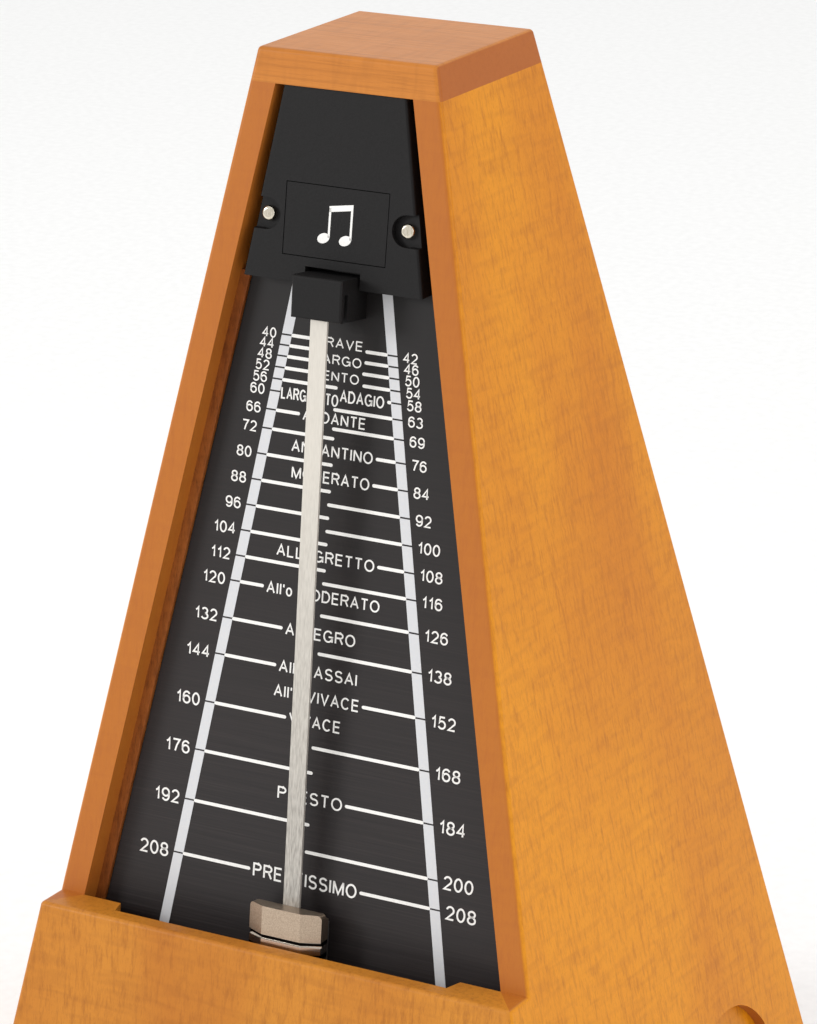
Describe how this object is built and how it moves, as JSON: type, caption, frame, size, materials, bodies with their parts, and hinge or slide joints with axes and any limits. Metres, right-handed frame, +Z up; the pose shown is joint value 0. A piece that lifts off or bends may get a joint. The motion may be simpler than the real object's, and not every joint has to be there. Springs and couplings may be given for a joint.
{
  "type": "metronome",
  "caption": "Wooden pyramid metronome with a black tempo dial, a swinging rod with a sliding bob, and a key-wound clockwork movement.",
  "frame": {"origin": "middle of the footprint at table level", "axes": "+X to the right of the dial, +Y to the back, +Z up"},
  "size_m": [0.1265, 0.1152, 0.223],
  "materials": {
    "side_wood": "satin clear lacquer over straight-grained wood",
    "cap_wood": "satin clear lacquer",
    "front_wood": "satin clear lacquer",
    "inner_wood": "unlacquered darker wood",
    "rubber": "matt moulded rubber",
    "zinc_steel": "zinc plated steel",
    "nickel": "nickel plated pan head screw",
    "brass": "turned and stamped brass",
    "dial_black": "dark brushed anodised sheet",
    "cover_black": "fine textured black moulding",
    "rod_lacquer": "cream lacquered spring steel strip",
    "bob_nickel": "satin champagne nickel casting",
    "spring_steel": "blued spring steel"
  },
  "bodies": {
    "case": {"left_side_panel": "side_wood", "right_side_panel": "side_wood", "back_panel": "side_wood", "top_cap": "cap_wood", "lower_front_panel": "front_wood", "base_board": "inner_wood", "rubber_feet": "rubber", "base_screws": "zinc_steel", "key_bush": "brass", "dial_plate": "dial_black", "left_dial_batten": "inner_wood", "right_dial_batten": "inner_wood", "top_cover": "cover_black", "name_plate": "cover_black", "cover_screws": "nickel", "rod_catch": "cover_black", "left_movement_plate": "zinc_steel", "right_movement_plate": "zinc_steel", "frame_pillars": "zinc_steel", "pillar_nuts": "brass", "movement_screws": "zinc_steel", "front_bearing_bridge": "zinc_steel", "rear_bearing_cock": "zinc_steel", "escape_cock": "zinc_steel", "click_screw": "zinc_steel", "click_spring": "spring_steel"},
    "pendulum": {"verge_arbor": "zinc_steel", "front_pallet": "zinc_steel", "rear_pallet": "zinc_steel", "rod_holder": "brass", "pendulum_rod": "rod_lacquer", "weight_stem": "zinc_steel", "counterweight": "brass"},
    "bob": {"bob_body": "bob_nickel", "bob_back_plate": "zinc_steel", "bob_spring": "spring_steel"},
    "winding_arbor": {"barrel_arbor": "zinc_steel", "ratchet_wheel": "zinc_steel", "winding_key": "brass", "arbor_collar": "brass"},
    "barrel": {"spring_barrel": "brass", "barrel_cover": "brass", "great_wheel": "brass", "mainspring": "spring_steel"},
    "second_train": {"second_arbor": "zinc_steel", "second_wheel": "brass"},
    "escape_train": {"escape_arbor": "zinc_steel", "escape_wheel": "brass"},
    "click": {"click": "zinc_steel"}
  },
  "joints": [
    {"name": "pendulum_swing", "type": "hinge", "parent": "case", "child": "pendulum", "pos_m": [0, -0.04131, 0.0485], "axis": [0, -0.9913, 0.1318], "range_deg": [-18, 18]},
    {"name": "bob_slide", "type": "slide", "parent": "pendulum", "child": "bob", "axis": [0, 0.1318, 0.9913], "range_m": [0, 0.1]},
    {"name": "key_wind", "type": "hinge", "parent": "case", "child": "winding_arbor", "pos_m": [0, 0.0254, 0.0246], "axis": [1, 0, 0], "continuous": true},
    {"name": "barrel_turn", "type": "hinge", "parent": "case", "child": "barrel", "pos_m": [0, 0.0254, 0.0246], "axis": [1, 0, 0], "continuous": true},
    {"name": "second_turn", "type": "hinge", "parent": "case", "child": "second_train", "pos_m": [0, 0.01394, 0.03658], "axis": [1, 0, 0], "continuous": true},
    {"name": "escape_turn", "type": "hinge", "parent": "case", "child": "escape_train", "pos_m": [0, 0.0008, 0.0429], "axis": [1, 0, 0], "continuous": true},
    {"name": "click_lift", "type": "hinge", "parent": "case", "child": "click", "pos_m": [0, 0.02348, 0.03619], "axis": [1, 0, 0], "range_deg": [0, 12], "stiffness_Nm_per_rad": 0.004, "springref_deg": -11.46}
  ],
  "couplings": [
    {"joint": "second_turn", "follows": "barrel_turn", "ratio": -5.6},
    {"joint": "escape_turn", "follows": "barrel_turn", "ratio": 35}
  ]
}
